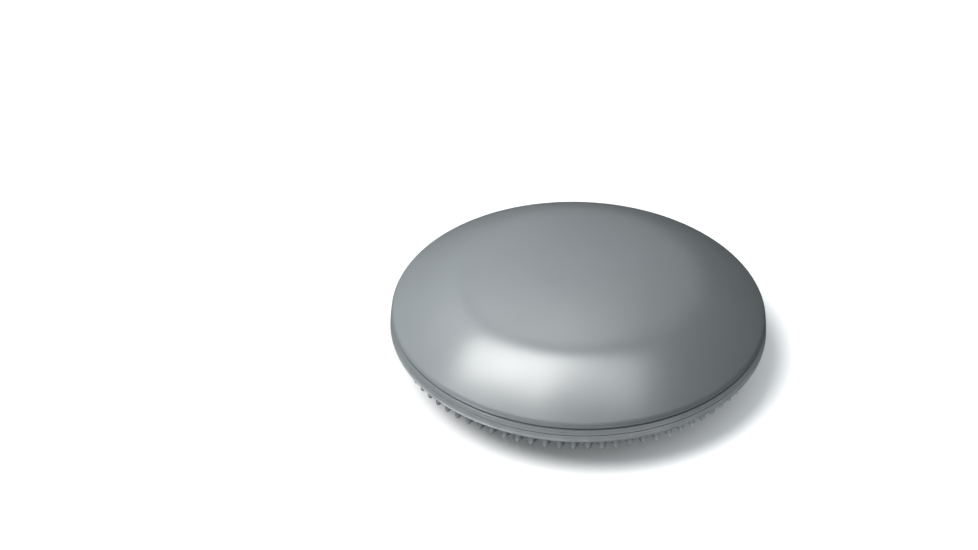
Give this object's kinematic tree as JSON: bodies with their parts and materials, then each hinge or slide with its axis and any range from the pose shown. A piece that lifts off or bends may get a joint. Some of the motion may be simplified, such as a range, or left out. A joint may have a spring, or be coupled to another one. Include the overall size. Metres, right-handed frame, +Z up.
{
  "type": "inflatable balance disc",
  "caption": "Round inflatable balance cushion with a smooth dome on top, short nubs underneath, a rim seam and a plugged inflation valve.",
  "frame": {"origin": "on the floor, at the middle of the box around the disc, under its central nub", "axes": "+Z up through the middle of the smooth dome, and the valve faces down and out at the back, on the +Y and -X side"},
  "size_m": [0.34, 0.34, 0.102],
  "materials": {
    "smooth_pvc": "satin",
    "nubbed_pvc": "satin",
    "valve_pvc": "satin",
    "valve_rubber": "matte",
    "plug_pvc": "satin"
  },
  "bodies": {
    "disc": {"upper_shell": "smooth_pvc", "lower_shell": "nubbed_pvc", "valve_housing": "valve_pvc", "valve_core": "valve_rubber"},
    "plug": {"valve_plug": "plug_pvc"}
  },
  "joints": [
    {"name": "plug_pull", "type": "slide", "parent": "disc", "child": "plug", "axis": [-0.1949, 0.4706, -0.8606], "range_m": [0, 0.014]}
  ]
}
